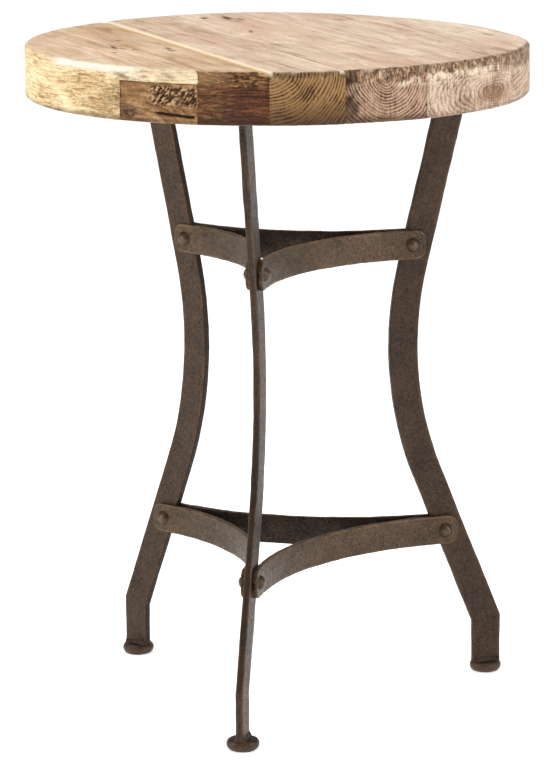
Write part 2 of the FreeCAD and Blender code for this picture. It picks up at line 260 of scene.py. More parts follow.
class Nodes:
    """Writes the nodes of one material as formulas."""

    def __init__(self, name):
        self.material = bpy.data.materials.new(name)
        self.material.use_nodes = True
        self.tree = self.material.node_tree
        self.tree.nodes.clear()
        self.shader = self.add("ShaderNodeBsdfPrincipled")
        self.add("ShaderNodeOutputMaterial", {"Surface": self.shader.outputs[0]})

    def fill(self, node, inputs):
        """Links or sets a node's inputs."""
        for key, value in inputs.items():
            if isinstance(value, bpy.types.NodeSocket):
                self.tree.links.new(value, node.inputs[key])
            else:
                node.inputs[key].default_value = value

    def add(self, kind, inputs=None, **settings):
        node = self.tree.nodes.new(kind)
        for key, value in settings.items():
            setattr(node, key, value)
        self.fill(node, inputs or {})
        return node

    def math(self, operation, *values):
        return self.add("ShaderNodeMath", dict(enumerate(values)), operation=operation).outputs[0]

    def times(self, a, b):
        return self.math("MULTIPLY", a, b)

    def plus(self, a, b):
        return self.math("ADD", a, b)

    def vector(self, operation, a, b):
        return self.add("ShaderNodeVectorMath", {0: a, 1: b}, operation=operation).outputs[0]

    def noise(self, vector, cell, detail=2.0, rough=0.5, distortion=0.0, output="Fac"):
        """Noise from 0 to 1, with a cell size in millimetres for each axis."""
        scaled = self.vector("MULTIPLY", vector, tuple(1.0 / size for size in cell))
        inputs = {"Vector": scaled, "Scale": 1.0, "Detail": detail, "Roughness": rough}
        inputs["Distortion"] = distortion
        return self.add("ShaderNodeTexNoise", inputs).outputs[output]

    def spread(self, value, low, high, to_low=0.0, to_high=1.0, smooth=True):
        kind = "SMOOTHSTEP" if smooth else "LINEAR"
        inputs = {"Value": value, "From Min": low, "From Max": high, "To Min": to_low, "To Max": to_high}
        return self.add("ShaderNodeMapRange", inputs, interpolation_type=kind).outputs[0]

    def blend(self, factor, a, b, kind="MIX"):
        inputs = {0: factor, 6: a, 7: b}
        return self.add("ShaderNodeMix", inputs, data_type="RGBA", blend_type=kind).outputs[2]

    def ramp(self, factor, stops):
        node = self.add("ShaderNodeValToRGB", {0: factor})
        elements = node.color_ramp.elements
        while len(elements) < len(stops):
            elements.new(0.5)
        for element, (place, colour) in zip(elements, stops):
            element.position = place
            element.color = colour
        return node.outputs[0]

    def bump(self, height, distance, strength=1.0):
        inputs = {"Height": height, "Distance": distance * MM, "Strength": strength}
        return self.add("ShaderNodeBump", inputs).outputs[0]

    def mark(self, name):
        node = self.add("ShaderNodeAttribute", attribute_name=name, attribute_type="GEOMETRY")
        return node.outputs["Fac"]

    def shade(self, inputs):
        """Fills the shader's own inputs."""
        self.fill(self.shader, inputs)


def grey(value):
    return (value, value, value, 1.0)


# Brightness over one growth ring: places from 0 to 1, and how bright it is there
RING_PROFILE = ((0.0, 0.3), (0.15, 0.0), (0.45, 0.1), (0.75, 0.9), (0.88, 1.0), (1.0, 0.3))
WOOD_DEEP = rgb(58, 32, 15)
WOOD_BLUSH = rgb(208, 166, 140)
WOOD_DUSTY = rgb(206, 192, 160)
WOOD_LINE = rgb(160, 116, 80)
WOOD_PORE = rgb(118, 88, 64)
CREAM = (254, 236, 204)
# The wood's noises: cell (across, along, up) in millimetres, detail, roughness, distortion
WOOD_NOISES = {
    "ragged": ((3.0, 60.0, 3.0),),
    "fade": ((16.0, 90.0, 12.0),),
    "fibre": ((1.0, 40.0, 1.0), 3.0, 0.65),
    "streak": ((6.5, 190.0, 6.5), 4.0, 0.62),
    "mottle": ((26.0, 70.0, 24.0), 4.0, 0.6, 0.8),
    "speck": ((1.5, 1.5, 1.5), 3.0, 0.75),
    "pores": ((1.3, 9.0, 1.3), 1.0),
    "lines": ((2.6, 110.0, 2.6), 2.0, 0.5, 0.2),
    "blush": ((38.0, 150.0, 38.0), 3.0, 0.6, 0.5),
    "dust": ((30.0, 120.0, 30.0), 3.0, 0.6, 0.8),
}
# How far the rings wander, in millimetres, and the cell of that
WARP = (11.0, 0.0, 11.0)
WARP_CELL = (42.0, 260.0, 42.0)
# Torn wood: places on its noise, and how dark or bright it is there: painted shade where its holes are and
# painted highlights on the torn fibres, over the torn wood's own colour
SHRED_SHADES = ((0.36, 0.38), (0.47, 0.82), (0.53, 1.1), (0.64, 1.5))
# How strong the long streaks are on the rim and on the top
RIM_STREAK = 0.7
TOP_STREAK = 1.1
BEECH_TONES = ((150, 116, 78), (196, 162, 118), (214, 184, 142), (228, 202, 164))


def shaded(colour, share):
    """A display colour made darker by a share under 1, or brighter and creamier by one over 1."""
    if share <= 1:
        return [c * share for c in colour]
    over = (share - 1) / 2
    return [c * (1 + over) * (1 - over) + cream * over for c, cream in zip(colour, CREAM)]


def wood(
    name, pith, ring_gap, rim_tones, top_tones, rim, top, cut, torn=(118, 80, 50), pale=CREAM, heart=None,
):
    """Solid wood: growth rings round a pith line that runs along the board.

    pith is (across, height, flatness): 1 gives round rings, less gives rings
    that are wider than tall. The tones are display colours, dark to light,
    for the rim and for the top face. rim says how strong the rings, the
    fibres, the mottling, the specks and the saw marks are there, and top the
    first four of these. cut is the cells of the rim's saw marks and torn
    shreds. torn and pale colour the marks of those kinds. heart is a dark
    area in the end grain: its centre, its size and its colour.
    """
    g = Nodes(name)
    place = g.add("ShaderNodeTexCoord").outputs["Object"]
    turned = {"Vector": place, "Rotation": (0.0, 0.0, -BOARD_ANGLE), "Scale": (1 / MM,) * 3}
    mm = g.add("ShaderNodeMapping", turned).outputs[0]
    look = {key: g.noise(mm, *values) for key, values in WOOD_NOISES.items()}
    fibre, speck = look["fibre"], look["speck"]
    sawn = g.noise(mm, cut[0], 2.0, 0.6)
    shreds = g.noise(mm, cut[1], 3.0, 0.7)

    warp = g.vector("SUBTRACT", g.noise(mm, WARP_CELL, output="Color"), (0.5, 0.5, 0.5))
    warped = g.vector("ADD", g.vector("MULTIPLY", warp, WARP), mm)
    at = g.add("ShaderNodeSeparateXYZ", {0: warped}).outputs
    across = g.times(g.math("SUBTRACT", at[0], pith[0]), pith[2])
    rise = g.math("SUBTRACT", at[2], pith[1])
    distance = g.math("SQRT", g.plus(g.times(across, across), g.times(rise, rise)))
    by_year = {"W": g.times(distance, 0.11), "Scale": 1.0}
    uneven = g.add("ShaderNodeTexNoise", by_year, noise_dimensions="1D").outputs[0]
    phase = g.plus(g.math("DIVIDE", distance, ring_gap), g.times(uneven, 1.6))
    phase = g.plus(phase, g.times(look["ragged"], 0.25))
    ring = g.ramp(g.math("FRACT", phase), [(place, grey(value)) for place, value in RING_PROFILE])
    ring = g.times(ring, g.spread(look["fade"], 0.34, 0.68, 0.4, 1.0))

    facing = g.add("ShaderNodeSeparateXYZ", {0: g.add("ShaderNodeNewGeometry").outputs["Normal"]}).outputs[2]
    face_flat = g.spread(g.math("ABSOLUTE", facing), 0.6, 0.92)
    face_rim = g.math("SUBTRACT", 1.0, face_flat)

    def toned(strengths, colours, low, high):
        """Colours spread evenly over the sum of the wood's features, each with its strength."""
        total = 0.5
        for value, weight in zip((ring, fibre, look["mottle"], speck, sawn, look["streak"]), strengths):
            total = g.plus(total, g.math("MULTIPLY_ADD", value, weight, -0.5 * weight))
        places = np.linspace(low, high, len(colours))
        return g.ramp(total, [(place, rgb(*colour)) for place, colour in zip(places, colours)])

    rim_colour = toned((-rim[0], *rim[1:], RIM_STREAK), rim_tones, 0.08, 0.92)
    top_colour = toned((-top[0], *top[1:], 0.0, TOP_STREAK), top_tones, 0.12, 0.88)
    top_colour = g.blend(g.spread(look["blush"], 0.48, 0.7, 0.0, 0.6), top_colour, WOOD_BLUSH)
    top_colour = g.blend(g.spread(look["lines"], 0.27, 0.37, 0.32, 0.0), top_colour, WOOD_LINE, "MULTIPLY")
    top_colour = g.blend(g.spread(look["dust"], 0.5, 0.66, 0.0, 0.35), top_colour, WOOD_DUSTY)
    colour = g.blend(face_flat, rim_colour, top_colour)
    if heart:
        (middle_across, middle_height), (wide, tall), shade = heart
        off_n = g.math("DIVIDE", g.math("SUBTRACT", at[0], middle_across), wide)
        off_z = g.math("DIVIDE", g.math("SUBTRACT", at[2], middle_height), tall)
        far = g.plus(g.times(off_n, off_n), g.times(off_z, off_z))
        amount = g.times(g.spread(far, 0.1, 1.2, 0.9, 0.0), face_rim)
        colour = g.blend(amount, colour, rgb(*shade), "MULTIPLY")

    pits = g.times(g.spread(look["pores"], 0.27, 0.35, 1.0, 0.0), 0.4)
    colour = g.blend(pits, colour, WOOD_PORE, "MULTIPLY")
    rough_mark = g.mark("torn")
    shredded = g.ramp(shreds, [(place, rgb(*shaded(torn, share))) for place, share in SHRED_SHADES])
    colour = g.blend(g.times(rough_mark, 0.85), colour, shredded)
    light = g.times(g.mark("light"), g.spread(speck, 0.3, 0.6, 0.7, 1.0))
    colour = g.blend(light, colour, rgb(*pale))
    colour = g.blend(g.mark("dark"), colour, WOOD_DEEP)

    torn_hole = g.times(g.spread(shreds, 0.4, 0.56, 1.0, 0.0), rough_mark)
    height = g.plus(g.times(fibre, 0.5), g.times(ring, -0.4))
    sand, saw = g.times(speck, face_rim), g.times(sawn, face_rim)
    for value, depth in ((pits, -0.8), (sand, 0.9), (saw, 0.6), (torn_hole, -1.6)):
        height = g.plus(height, g.times(value, depth))
    g.shade({
        "Base Color": colour,
        "Roughness": g.spread(fibre, 0.2, 0.8, 0.78, 0.58, False),
        "Normal": g.bump(height, 0.55),
        "Specular IOR Level": 0.3,
    })
    return g.material


def iron(name, dark, light, pit_size, pit_depth, dent_size, dent_depth, rough=(0.36, 0.6)):
    """Forged iron, waxed dark bronze brown, with hammer dents and fine pits."""
    g = Nodes(name)
    mm = g.vector("MULTIPLY", g.add("ShaderNodeTexCoord").outputs["Object"], (1 / MM,) * 3)
    cloud = g.noise(mm, (22.0,) * 3, 4.0, 0.6)
    pit = g.noise(mm, (pit_size,) * 3, 3.0, 0.6)
    fine = g.noise(mm, (0.7,) * 3, 2.0, 0.6)
    cells = {"Vector": g.vector("MULTIPLY", mm, (1.0 / dent_size,) * 3), "Scale": 1.0, "Smoothness": 0.7}
    dent = g.add("ShaderNodeTexVoronoi", cells, feature="SMOOTH_F1").outputs["Distance"]
    tone = g.plus(g.times(cloud, 0.45), g.times(pit, 0.65))
    tone = g.plus(tone, g.math("MULTIPLY_ADD", fine, 0.65, -0.425))
    # the wear and painted light mark: rubbed corners and rivet tops lighter, partly a painted highlight on
    # the rivets, and painted shade where it is below 0
    tone = g.plus(tone, g.times(g.mark("wear_and_painted_light"), 0.35))
    bright = [min(255, c * 1.35) for c in light]
    height = g.plus(g.times(dent, dent_depth), g.times(pit, pit_depth))
    height = g.plus(height, g.times(fine, 0.05))
    g.shade({
        "Base Color": g.ramp(tone, ((0.2, rgb(*dark)), (0.62, rgb(*light)), (0.95, rgb(*bright)))),
        "Roughness": g.spread(pit, 0.3, 0.7, rough[1], rough[0], False),
        "Normal": g.bump(height, 1.0),
        "Metallic": 0.55,
        "Specular IOR Level": 0.45,
    })
    return g.material


# ------------------------------------------------------------------ materials
# Cells of the saw marks and of the torn shreds
UPRIGHT_SAW = ((1.7, 1.7, 16.0), (1.6, 1.6, 5.0))
LEVEL_SAW = ((16.0, 16.0, 1.5), (7.0, 7.0, 1.4))
BOARD_WOODS = {
    # board 1's pale colour, near white, also paints a highlight on its worn front edge
    1: wood(
        "sapwood_cream", (210.0, 540.0, 1.0), 5.0,
        ((156, 118, 74), (214, 184, 138), (236, 212, 168), (247, 231, 192)),
        ((154, 120, 90), (204, 170, 136), (224, 193, 162), (238, 214, 186)),
        (0.15, 0.6, 1.15, 0.9, 1.5), (0.15, 0.6, 1.3, 0.4), LEVEL_SAW, (176, 136, 86), (255, 250, 234),
    ),
    2: wood(
        "heartwood_red_brown", (112.0, 470.0, 1.0), 3.4,
        ((28, 9, 4), (58, 24, 10), (80, 38, 16), (122, 72, 40)),
        ((146, 112, 78), (194, 159, 123), (212, 181, 147), (226, 200, 168)),
        (0.3, 0.9, 1.3, 1.1, 1.4), (0.15, 0.6, 1.3, 0.4), LEVEL_SAW, (136, 90, 48), (222, 178, 128),
    ),
    3: wood(
        "golden_ringed", (91.0, 613.0, 1.0), 2.7,
        ((38, 20, 8), (86, 54, 26), (121, 85, 46), (164, 126, 78)),
        ((150, 120, 94), (202, 172, 144), (220, 194, 170), (234, 210, 184)),
        (1.15, 0.8, 1.5, 0.8, 0.7), (0.18, 0.6, 1.3, 0.4), UPRIGHT_SAW, (98, 62, 34),
    ),
    4: wood(
        "tan_ringed", (-11.0, 601.0, 1.0), 2.6,
        ((64, 38, 24), (120, 86, 63), (156, 122, 96), (194, 162, 136)),
        ((158, 128, 102), (208, 178, 152), (226, 200, 174), (240, 218, 192)),
        (0.85, 0.8, 1.1, 1.1, 0.9), (0.16, 0.6, 1.3, 0.4), UPRIGHT_SAW, (166, 126, 94),
    ),
    5: wood(
        "pinkish_ringed", (-129.0, 580.0, 0.42), 2.3,
        ((98, 70, 52), (155, 126, 102), (187, 159, 135), (220, 195, 172)),
        ((158, 128, 104), (206, 176, 152), (224, 198, 174), (238, 216, 194)),
        (0.38, 0.7, 1.1, 1.2, 1.3), (0.16, 0.6, 1.3, 0.4), UPRIGHT_SAW, (162, 122, 88),
        heart=((-130.0, 578.0), (24.0, 9.5), (200, 180, 164)),
    ),
    6: wood(
        "plain_tan", (-150.0, 660.0, 1.0), 4.4,
        ((98, 70, 50), (154, 126, 102), (186, 158, 134), (218, 194, 170)),
        ((174, 148, 124), (223, 198, 174), (237, 217, 193), (246, 228, 207)),
        (0.4, 0.5, 1.0, 0.9, 0.9), (0.16, 0.6, 1.3, 0.4), UPRIGHT_SAW, (138, 104, 78),
    ),
}
PATCH_WOOD = wood(
    "patch_rough_sawn", (186.0, 548.0, 1.0), 5.4,
    ((66, 38, 18), (122, 84, 50), (154, 116, 75), (192, 154, 108)),
    ((110, 78, 52), (150, 116, 84), (170, 138, 104), (190, 158, 124)),
    (0.3, 0.7, 1.2, 0.9, 0.8), (0.2, 0.6, 0.8, 0.3), LEVEL_SAW, (112, 68, 46), (222, 186, 144),
)
DOWEL_WOOD = wood(
    "dowel_beech", (0.0, 587.0, 1.0), 3.0, BEECH_TONES, BEECH_TONES,
    (0.2, 0.4, 0.4, 0.3, 0.2), (0.2, 0.4, 0.4, 0.3), UPRIGHT_SAW,
)
LEG_IRON = iron("iron_leg", (26, 18, 12), (72, 54, 39), 2.4, 0.12, 9.0, 0.18)
BRACE_IRON = iron("iron_brace", (22, 15, 10), (92, 72, 52), 2.0, 0.5, 6.0, 0.42, (0.3, 0.55))
RIVET_IRON = iron("iron_rivet", (24, 18, 14), (78, 62, 48), 1.8, 0.18, 3.4, 0.3, (0.26, 0.44))
FOOT_IRON = iron("iron_foot", (26, 18, 13), (70, 53, 40), 2.0, 0.14, 5.0, 0.18)
PLATE_IRON = iron("iron_plate", (32, 27, 24), (70, 60, 52), 2.4, 0.12, 12.0, 0.1)
SCREW_STEEL = iron("steel_screw", (66, 62, 58), (120, 114, 106), 1.5, 0.08, 4.0, 0.05, (0.3, 0.5))

# ------------------------------------------------------------------- the top
# Marks in the top face: across, along, half width, half length, depth, darkness, slant
TOP_MARKS = (
    (152, -13, 1.2, 9, 1, 1, 0.1),
    (149, -1, 1.1, 6, 0.8, 0.9, -0.35),
    (140, 9, 1.8, 3.2, 1.2, 1, 0),
    (112, 28, 1.8, 4.6, 1.3, 1, 0.05),
    (110, 12, 1.2, 6, 0.9, 0.9, 0.1),
    (131, -60, 1.1, 4, 0.8, 0.85, 0),
    (165, 26, 1.2, 3.6, 0.8, 0.85, 0),
    (131, 78, 0.8, 12, 0.5, 0.4, 0.03),
    (-3, -73, 0.9, 7, 0.9, 0.85, 0.3),
    (-6, 169, 1.1, 2.2, 0.9, 0.8, 0),
    (-2, -192, 2.1, 7, 1.2, 1, 0.05),
    (-22, -184, 2, 11, 1.2, 1, 0.1),
    (-30, -168, 1.7, 6, 1, 1, -0.1),
    (-113, -124, 5, 11, 0.5, 0.38, 0),
    (-150, -60, 1, 24, 0.5, 0.4, 0.02),
    (-84, 40, 0.8, 16, 0.4, 0.35, 0.02),
    (60, -20, 0.8, 20, 0.4, 0.3, 0.02),
    (-190, 40, 1, 10, 0.5, 0.4, 0),
)
BOARD_DROP = {1: 0.0, 2: 0.25, 3: 0.05, 4: 0.15, 5: 0.1, 6: 0.3}
BOARD_END_SHIFT = {1: 0.0, 2: -0.3, 3: 0.1, 4: -0.35, 5: 0.0, 6: -0.2}
# Painted shade along each board's lower edge: how high it reaches, and how dark it is
BOTTOM_PAINTED_SHADE = {1: (5.0, 0.6), 2: (10.0, 0.8), 3: (11.0, 0.85), 4: (8.0, 0.75), 5: (4.0, 0.4), 6: (4.0, 0.4)}
# The crack in board 4's end: where it starts, the direction square to it, and its length
CRACK_START = (-48.0, 574.0)
CRACK_RISE = (0.62, 0.78)
CRACK_LENGTH = 11.4
# What a mark's edge adds to its half width
MARK_SOFT_EDGE = 0.7


def rounding(distance, depth, width):
    """How far an eased edge has dropped at a distance from it."""
    t = np.clip(1 - distance / width, 0.0, 1.0)
    return depth * (1 - np.sqrt(np.maximum(1 - t * t, 0.0)))


def neighbours(low, high):
    """Whether another board meets this one on its low side, and on its high side."""
    return low > -TOP_RADIUS + 1, high < TOP_RADIUS - 1


def raise_to(mark, amount):
    """Raises a mark to at least an amount."""
    np.maximum(mark, amount, out=mark)


def sculpt_board(index, n, s, z, low, high):
    """Moves a board's points from the plain shape to the worn one.

    n, s and z are across, along and up. Returns the new points and marks.
    """
    p = np.column_stack([n, s, z])
    flat = p * (1, 1, 0)
    radius = np.hypot(n, s)
    to_rim = TOP_RADIUS - radius
    to_low, to_high = n - low, high - n
    front = s > 0
    at_rim = step(7.0, 0.0, to_rim)
    at_top = step(TOP_HEIGHT - 8.0, TOP_HEIGHT - 3.0, z)
    on_top = step(TOP_HEIGHT - 4.0, TOP_HEIGHT - 1.5, z)
    near_rim = step(4.5 + 2.0 * noise(p, (5, 5, 50), 17), 1.0, to_rim)
    front_rim = front * near_rim
    dark, light, torn = np.zeros((3, len(n)))

    # outline: hand-cut, board ends not quite flush, worn joints
    push = 0.5 * noise(p, (45, 45, 60), 3) + 0.22 * noise(p, (13, 13, 9), 4)
    push += 0.16 * noise(p, (2.2, 2.2, 5.0), 5) + BOARD_END_SHIFT[index] - 0.35
    for gap, real in zip((to_low, to_high), neighbours(low, high)):
        if real:
            push -= 0.25 * step(1.2, 0.0, gap)

    # torn fibres below the top edge
    serration = noise(p, (1.7, 1.7, 9.0), 6) * 0.6 + noise(p, (2.6, 2.6, 3.0), 7) * 0.7
    ragged_z = z + 1.8 * noise(p, (7, 7, 50), 8) + 1.0 * noise(p, (2.2, 2.2, 50), 14)
    if index >= 4:
        torn_from = 597.5 + 4.5 * step(-15, -50, n) - 8.0 * step(-130, -175, n)
        torn = band(-222, 30, 8, n) * front * step(torn_from - 2, torn_from + 2, ragged_z)
        torn *= 1.0 - 0.35 * step(-120, -170, n)
        chips = band(-140, -20, 8, n) * front_rim * band(torn_from - 5.5, torn_from, 1.2, ragged_z)
        raise_to(light, chips * np.clip(0.2 + 1.5 * noise(p, (1.6, 1.6, 6.0), 26), 0, 0.7))
    if index == 2:
        torn = band(94, 122, 3, n) * front * step(594, 598, ragged_z)
    if index == 3:
        torn = 0.45 * front * step(602, 606, ragged_z)
    behind = 0.7 * step(0, -70, s) * step(600, 605, ragged_z)
    behind *= np.clip(1.2 * noise(p, (40, 40, 90), 9) + 0.4, 0, 1)
    torn = np.maximum(torn, behind) * near_rim
    push -= 1.6 * torn * np.clip(0.35 + serration, 0, 1)
    # painted shade where the tears go deepest, and painted highlights on the fibres that stand out
    raise_to(dark, 0.75 * torn * np.clip(serration - 0.05, 0, 1))
    raise_to(light, (0.35 if index == 2 else 0.8) * torn * np.clip(-serration - 0.1, 0, 1))

    # a saw's step and a pale line along it, across boards 4 and 5
    if index in (4, 5):
        push -= 0.3 * step(593.6, 594.2, z) * front * band(-145, -25, 6, n)
        raise_to(light, 0.3 * front * band(592.6, 594.0, 0.5, z) * band(-140, -40, 12, n))
    # board 4: a dark, sunken joint with board 3, and a short slanting crack
    if index == 4:
        joint = front_rim * step(12, 22, n + 3.0 * noise(p, (9, 9, 7), 18))
        push -= 0.9 * joint
        raise_to(dark, joint * (0.62 + 0.5 * noise(p, (6, 6, 5), 10)))
        right, up = n - CRACK_START[0], z - CRACK_START[1]
        crack = np.abs(right * CRACK_RISE[0] + up * CRACK_RISE[1])
        run = (up * CRACK_RISE[0] - right * CRACK_RISE[1]) / CRACK_LENGTH
        groove = front * step(1.5, 0.2, crack) * band(0, 1, 0.1, run)
        push -= 1.2 * groove
        raise_to(dark, 0.8 * groove)
    # board 3: painted shade over the lower part of its front rim
    if index == 3:
        raise_to(dark, 0.72 * front_rim * step(592, 566, z))
    # painted shade along the lower edge of the rim
    shade_top, shade_dark = BOTTOM_PAINTED_SHADE[index]
    low_shade = shade_dark * step(UNDERSIDE + shade_top, UNDERSIDE + 1.0, z + 1.6 * noise(p, (12, 12, 50), 15))
    raise_to(dark, low_shade * at_rim)
    # board 1: uneven layers, small pits, and a brown stain round the patch
    if index == 1:
        push += 0.105 * noise(p, (30, 30, 2.2), 11)
        spots = np.clip(noise(p, (5, 9, 2.2), 12) * 1.6 + noise(p, (24, 24, 9), 13) - 0.95, 0, 1)
        spots *= step(35, 75, s) * near_rim
        push -= 0.9 * spots
        raise_to(dark, 0.7 * spots)
        by_patch = step(66, 112, s) * step(600, 588, z)
        brown = np.clip(0.42 + 0.45 * by_patch + noise(p, (16, 16, 7), 16), 0, 1)
        brown *= front * step(60, 125, s) * step(602, 592, z)
        raise_to(torn, (0.5 + 0.3 * by_patch) * brown)
    push *= at_rim
    unit = np.maximum(radius, 1e-6)
    n2, s2 = n + n / unit * push, s + s / unit * push

    # top face: slow hollows, raised grain, height steps, marks
    lift = 0.3 * noise(flat, (60, 190, 1), 20) + 0.1 * noise(flat, (4.2, 150, 1), 21)
    lift += 0.07 * noise(flat, (2.7, 70, 1), 22) - 0.4 - BOARD_DROP[index]
    for m_n, m_s, half_w, half_l, depth, darkness, slant in TOP_MARKS:
        q = ((n - m_n - slant * (s - m_s)) / (half_w + MARK_SOFT_EDGE)) ** 2 + ((s - m_s) / half_l) ** 2
        shape = np.exp(-q * q * 0.5) * (z > TOP_HEIGHT - 8)
        lift -= depth * shape
        raise_to(dark, darkness * shape)
    # board 2: a golden, torn corner, and a step down to board 1 with a pale worn edge
    if index == 2:
        golden = step(108, 130, n + 5 * noise(p, (9, 9, 5), 18)) * front_rim
        golden *= 0.5 + 0.4 * step(592, 602, z)
        raise_to(light, 0.3 * step(116, 134, n) * step(594, 602, z) * front_rim)
        raise_to(torn, golden * np.clip(0.85 + 0.6 * noise(p, (24, 24, 3.5), 19), 0, 1))
        edge = 99.0 + 0.8 * noise(flat, (200, 30, 1), 23)
        lift -= 1.1 * step(edge + 1.0, edge - 5.5, n)
        raise_to(light, 0.85 * step(edge + 0.8, edge - 0.8, n) * on_top)
        raise_to(dark, 0.45 * np.exp(-((n - edge - 1.2) / 0.8) ** 2) * on_top * step(-150, 60, s))
    # board 3: pale worn edges along both of its joints
    if index == 3:
        lift -= 1.2 * step(3.2, 0.0, to_high)
        raise_to(light, 0.85 * step(3.4, 2.2, to_high) * on_top)
        strip = step(33.5, 32.0, n) * step(60, 110, s) * on_top
        raise_to(light, 0.75 * strip)
        lift -= 0.5 * strip
    if index == 5:
        raise_to(light, 0.35 * step(-52.4, -51.2, n) * on_top * band(-60, 120, 40, s))
    # board 1: a pale worn edge in front, which runs down to the patch, partly a painted highlight
    if index == 1:
        worn_edge_and_highlight = front * step(24, 52, s) * (0.95 - 0.72 * step(112, 145, s)) * step(9.0, 3.0, to_rim)
        above_patch = step(118, 135, s)
        raise_to(light, worn_edge_and_highlight * np.maximum(at_top, above_patch * step(596, 601, z)))
    z2 = z + lift * at_top
    belly = 0.3 * noise(flat, (50, 150, 1), 24) + 0.12 * noise(flat, (3.5, 120, 1), 25) - 0.5
    z2 = z2 + belly * step(UNDERSIDE + 3.0, UNDERSIDE, z)
    marks = {"dark": dark, "light": light, "torn": torn}
    return np.column_stack([n2, s2, z2]), {key: np.clip(value, 0, 1) for key, value in marks.items()}


def board_columns(low, high):
    """Places of the mesh lines across a board, closer at its seams."""
    a = math.asin(max(-1.0, low / TOP_RADIUS))
    b = math.asin(min(1.0, high / TOP_RADIUS))
    count = max(4, round((b - a) * TOP_RADIUS / COLUMN_STEP))
    lines = TOP_RADIUS * np.sin(np.linspace(a, b, count + 1))
    clear = SEAM_COLUMNS[-1] + 0.4
    extra = []
    at_low, at_high = neighbours(low, high)
    if at_low:
        lines = lines[lines > low + clear]
        extra += [low + off for off in SEAM_COLUMNS]
    if at_high:
        lines = lines[lines < high - clear]
        extra += [high - off for off in SEAM_COLUMNS]
    return np.array(sorted(list(lines) + extra))


def grid_block(n, s, z_low, z_high, rows):
    """A closed block: a lower and an upper grid over (n, s), joined by walls.

    n and s are grids of the same shape. Returns points (n, s, z) and faces.
    """
    count_r, count_c = n.shape
    size = count_r * count_c
    ids = np.arange(size).reshape(count_r, count_c)
    ring = [(0, c) for c in range(count_c)]
    ring += [(r, count_c - 1) for r in range(1, count_r)]
    ring += [(count_r - 1, c) for c in range(count_c - 2, -1, -1)]
    ring += [(r, 0) for r in range(count_r - 2, 0, -1)]
    rr, cc = np.array(ring).T
    around = len(ring)
    points = [np.column_stack([n.ravel(), s.ravel(), z_low.ravel()])]
    points.append(np.column_stack([n.ravel(), s.ravel(), z_high.ravel()]))
    for k in range(1, rows):
        t = k / rows
        z = z_low[rr, cc] * (1 - t) + z_high[rr, cc] * t
        points.append(np.column_stack([n[rr, cc], s[rr, cc], z]))
    a, b, c, d = ids[:-1, :-1], ids[:-1, 1:], ids[1:, 1:], ids[1:, :-1]
    lower = np.stack([a, b, c, d], -1).reshape(-1, 4)
    upper = np.stack([a, d, c, b], -1).reshape(-1, 4) + size
    levels = [ids[rr, cc]]
    levels += [2 * size + (k - 1) * around + np.arange(around) for k in range(1, rows)]
    levels.append(ids[rr, cc] + size)
    walls = []
    for under, over in zip(levels[:-1], levels[1:]):
        walls.append(np.stack([under, np.roll(under, -1), np.roll(over, -1), over], -1))
    faces = np.concatenate([lower, upper] + walls)
    return np.concatenate(points), faces.tolist()


def to_world(points):
    """From across, along and up to the table's frame."""
    return points @ np.array([ACROSS, ALONG, UP])


def make_board(index, cutter=None):
    """One board of the top, replacing its CAD node."""
    node = "plank_%d" % index
    low, high = reach(node, ACROSS)
    at_low, at_high = neighbours(low, high)
    low += at_low * SEAM_GAP / 2
    high -= at_high * SEAM_GAP / 2
    columns = board_columns(low, high)
    half = np.sqrt(np.maximum(TOP_RADIUS ** 2 - columns ** 2, 0.0))
    slope = np.maximum(half / TOP_RADIUS, 0.02)
    count = len(END_ROWS) + max(8, round(half.max() / ROW_STEP))
    from_end = np.empty((count + 1, len(columns)))
    for k in range(count + 1):
        share = half * k / count
        if k < len(END_ROWS):
            from_end[k] = np.minimum(END_ROWS[k] / slope, share)
        else:
            start = np.minimum(END_ROWS[-1] / slope, half * (len(END_ROWS) - 1) / count)
            t = (k - len(END_ROWS) + 1) / (count - len(END_ROWS) + 1)
            from_end[k] = start + (half - start) * t
    s_back = -half + from_end
    s = np.concatenate([s_back, -s_back[-2::-1]])
    n = np.broadcast_to(columns, s.shape)
    to_rim = TOP_RADIUS - np.hypot(n, s)
    # the top edge is worn rounder in front on board 1, and at the back right
    extra = np.zeros(s.shape)
    if index == 1:
        extra = FRONT_WEAR * band(48, 128, 16, s)
    if index >= 4:
        extra = BACK_WEAR * step(-50, -185, n) * step(125, 5, s)
    drop = rounding(to_rim, TOP_ROUND + extra, TOP_ROUND + extra * (1.0 if index == 1 else BACK_WEAR_SPREAD))
    rise = rounding(to_rim, BOTTOM_ROUND, BOTTOM_ROUND)
    for gap, real in ((n - low, at_low), (high - n, at_high)):
        if real:
            drop = drop + rounding(gap, SEAM_ROUND, SEAM_ROUND)
            rise = rise + rounding(gap, SEAM_ROUND, SEAM_ROUND)
    points, faces = grid_block(n, s, UNDERSIDE + rise, TOP_HEIGHT - drop, WALL_ROWS)
    points, marks = sculpt_board(index, points[:, 0], points[:, 1], points[:, 2], low, high)
    piece = make_piece("board_%d" % index, to_world(points), faces, BOARD_WOODS[index], [node], marks)
    if cutter:
        cut_away(piece, cutter)
    return piece


def cut_away(piece, cutter):
    """Takes the cutter's space out of a piece's mesh."""
    modifier = piece.modifiers.new("cut", "BOOLEAN")
    modifier.operation = "DIFFERENCE"
    modifier.solver = "EXACT"
    modifier.object = cutter
    graph = bpy.context.evaluated_depsgraph_get()
    mesh = bpy.data.meshes.new_from_object(piece.evaluated_get(graph))
    piece.modifiers.clear()
    old, piece.data = piece.data, mesh
    bpy.data.meshes.remove(old)
    finish_surface(mesh)


PATCH_ACROSS = reach("patch_block", ACROSS)
PATCH_START = reach("patch_block", ALONG)[0]
PATCH_TOP = reach("patch_block", UP)[1]
PATCH_INSET = 0.7


